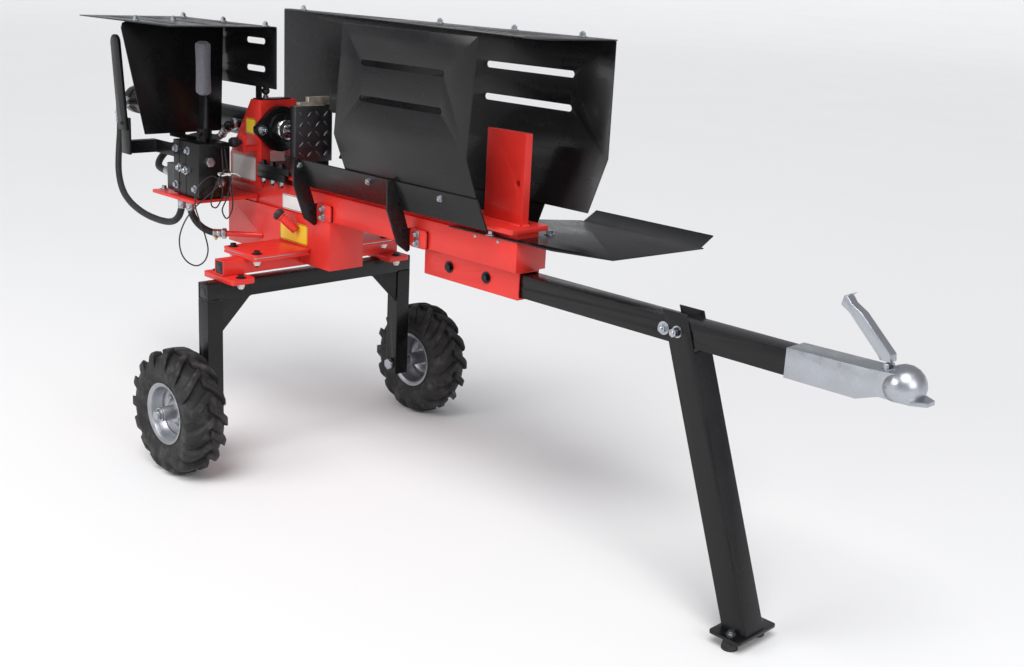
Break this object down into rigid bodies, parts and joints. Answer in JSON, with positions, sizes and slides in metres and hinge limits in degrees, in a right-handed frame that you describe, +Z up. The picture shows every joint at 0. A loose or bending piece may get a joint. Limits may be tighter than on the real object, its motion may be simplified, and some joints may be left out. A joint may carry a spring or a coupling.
{
  "type": "log splitter",
  "caption": "Towable horizontal hydraulic log splitter: ram, pusher and fixed wedge on a beam with guards, two wheels, drawbar, ball coupler and parking leg.",
  "frame": {"origin": "on the ground, at the middle of the machine's length and width", "axes": "+X along the beam and drawbar towards the coupler, +Z up, the operator stands on the -Y side"},
  "size_m": [2.856, 0.998, 1.2093],
  "materials": {
    "red_paint": "glossy powder coat",
    "black_paint": "glossy powder coat",
    "zinc_plate": "bright zinc plate",
    "chrome_plate": "polished hard chrome",
    "tyre_rubber": "moulded tyre rubber",
    "foot_rubber": "moulded rubber",
    "hose_rubber": "ribbed hose cover",
    "black_plastic": "moulded plastic",
    "grip_foam": "fine foam grip"
  },
  "bodies": {
    "chassis": {"mount_tube": "red_paint", "oil_tank": "red_paint", "axle_flange_near": "red_paint", "axle_flange_far": "red_paint", "tank_flange_near": "red_paint", "tank_flange_far": "red_paint", "main_beam": "red_paint", "filler_neck": "red_paint", "drawbar_socket": "red_paint", "cylinder_mount": "red_paint", "slide_rail": "red_paint", "wedge_blade": "red_paint", "valve_bracket": "red_paint", "axle_cross_tube": "black_paint", "axle_post_near": "black_paint", "axle_post_far": "black_paint", "drawbar": "black_paint", "cylinder_barrel": "black_paint", "cylinder_rear_cap": "black_paint", "cylinder_flange": "black_paint", "outfeed_table": "black_paint", "log_cradle_near": "black_paint", "log_cradle_far": "black_paint", "log_guard_near": "black_paint", "log_guard_far": "black_paint", "log_guard_roof": "black_paint", "lever_guard_roof": "black_paint", "lever_guard_side": "black_paint", "lever_guard_front": "black_paint", "valve_body": "black_paint", "second_lever_bracket": "black_paint", "stub_axle_near": "zinc_plate", "stub_axle_far": "zinc_plate", "coupler_body": "zinc_plate", "cylinder_gland": "chrome_plate", "hose_rear_port": "hose_rubber", "hose_front_port": "hose_rubber", "hose_return": "hose_rubber", "control_cable": "black_plastic"},
    "wheel_near": {"tyre_near": "tyre_rubber", "rim_near": "zinc_plate"},
    "wheel_far": {"tyre_far": "tyre_rubber", "rim_far": "zinc_plate"},
    "pusher": {"pusher_block": "black_paint", "pusher_plate": "black_paint", "pusher_gib_near": "black_paint", "pusher_gib_far": "black_paint", "cylinder_rod": "chrome_plate", "cylinder_piston": "zinc_plate"},
    "control_lever": {"control_lever": "black_paint", "control_lever_grip": "grip_foam"},
    "valve_spool": {"valve_spool": "chrome_plate"},
    "second_lever": {"second_lever": "black_paint"},
    "stop_knob": {"stop_knob": "black_plastic"},
    "coupler_handle": {"coupler_handle": "zinc_plate"},
    "coupler_latch": {"coupler_latch": "zinc_plate"},
    "parking_leg": {"parking_leg": "black_paint", "leg_foot_near": "foot_rubber", "leg_foot_far": "foot_rubber"},
    "filler_cap": {"filler_cap": "black_plastic"}
  },
  "joints": [
    {"name": "wheel_near_spin", "type": "hinge", "parent": "chassis", "child": "wheel_near", "pos_m": [-0.464, -0.427, 0.17], "axis": [0, 1, 0], "continuous": true},
    {"name": "wheel_far_spin", "type": "hinge", "parent": "chassis", "child": "wheel_far", "pos_m": [-0.464, 0.427, 0.17], "axis": [0, 1, 0], "continuous": true},
    {"name": "pusher_slide", "type": "slide", "parent": "chassis", "child": "pusher", "axis": [1, 0, 0], "range_m": [0, 0.62]},
    {"name": "control_lever_tilt", "type": "hinge", "parent": "chassis", "child": "control_lever", "pos_m": [-0.69, -0.2, 0.872], "axis": [0, 1, 0], "range_deg": [-18, 18], "stiffness_Nm_per_rad": 8},
    {"name": "valve_spool_slide", "type": "slide", "parent": "chassis", "child": "valve_spool", "axis": [1, 0, 0], "range_m": [-0.009, 0.009]},
    {"name": "second_lever_tilt", "type": "hinge", "parent": "chassis", "child": "second_lever", "pos_m": [-0.868, -0.348, 0.886], "axis": [0, -1, 0], "range_deg": [0, 25], "stiffness_Nm_per_rad": 6, "springref_deg": -17.19},
    {"name": "stop_knob_turn", "type": "hinge", "parent": "chassis", "child": "stop_knob", "pos_m": [-0.654, -0.126, 0.848], "axis": [0, 1, 0], "continuous": true},
    {"name": "coupler_handle_close", "type": "hinge", "parent": "chassis", "child": "coupler_handle", "pos_m": [1.332, 0, 0.6957], "axis": [0, -1, 0], "range_deg": [0, 40]},
    {"name": "coupler_latch_slide", "type": "slide", "parent": "chassis", "child": "coupler_latch", "axis": [0, 0, -1], "range_m": [0, 0.013]},
    {"name": "parking_leg_fold", "type": "hinge", "parent": "chassis", "child": "parking_leg", "pos_m": [0.866, 0, 0.638], "axis": [0, 1, 0], "range_deg": [0, 95]},
    {"name": "filler_cap_turn", "type": "hinge", "parent": "chassis", "child": "filler_cap", "pos_m": [-0.478, -0.092, 0.664], "axis": [-0.5914, -0.4838, 0.6451], "continuous": true}
  ],
  "couplings": [
    {"joint": "valve_spool_slide", "follows": "control_lever_tilt", "m_per_rad": -0.025},
    {"joint": "coupler_latch_slide", "follows": "coupler_handle_close", "m_per_rad": 0.018}
  ]
}
